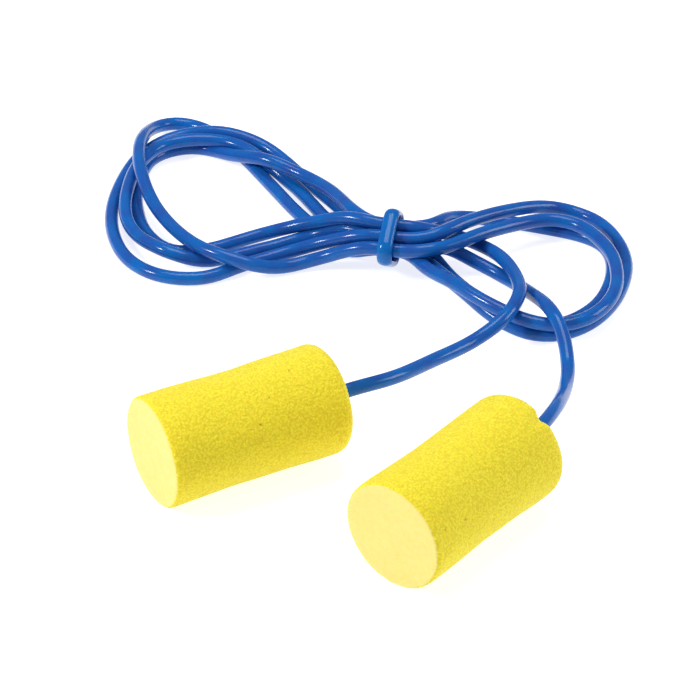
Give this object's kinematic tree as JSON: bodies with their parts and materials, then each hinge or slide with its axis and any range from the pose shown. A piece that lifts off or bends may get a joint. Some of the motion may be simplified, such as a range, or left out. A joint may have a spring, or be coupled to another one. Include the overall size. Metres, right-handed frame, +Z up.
{
  "type": "corded foam ear plugs",
  "caption": "Soft cylindrical foam ear plugs joined by a thin plastic cord, which is folded into loops and held by a small elastic tie.",
  "frame": {"origin": "under the middle of the two foam plugs, on the surface they lie on", "axes": "+X along the pair of plugs, from the left one to the right one; +Y towards the cord and its tie; +Z up"},
  "size_m": [0.0636, 0.0975, 0.0125],
  "materials": {
    "foam": "soft open foam, fine grained, dull",
    "cord_pvc": "smooth glossy soft PVC",
    "tie_elastomer": "smooth glossy elastomer",
    "adhesive": "clear, set"
  },
  "bodies": {
    "cord": {"cord": "cord_pvc"},
    "left_plug": {"left_foam_plug": "foam", "left_cord_end": "cord_pvc", "left_adhesive": "adhesive"},
    "right_plug": {"right_foam_plug": "foam", "right_cord_end": "cord_pvc", "right_adhesive": "adhesive"},
    "tie": {"tie_ring": "tie_elastomer"}
  },
  "joints": [
    {"name": "left_plug_flex", "type": "hinge", "parent": "cord", "child": "left_plug", "pos_m": [-0.00168, 0.0119, 0.00625], "axis": [0, 0, 1], "range_deg": [-30, 20], "stiffness_Nm_per_rad": 0.0016},
    {"name": "right_plug_flex", "type": "hinge", "parent": "cord", "child": "right_plug", "pos_m": [0.01891, 0.00325, 0.00625], "axis": [0, 0, 1], "range_deg": [-20, 30], "stiffness_Nm_per_rad": 0.0016},
    {"name": "tie_slide", "type": "slide", "parent": "cord", "child": "tie", "axis": [0.9781, -0.2079, 0], "range_m": [-0.001, 0.001]}
  ]
}
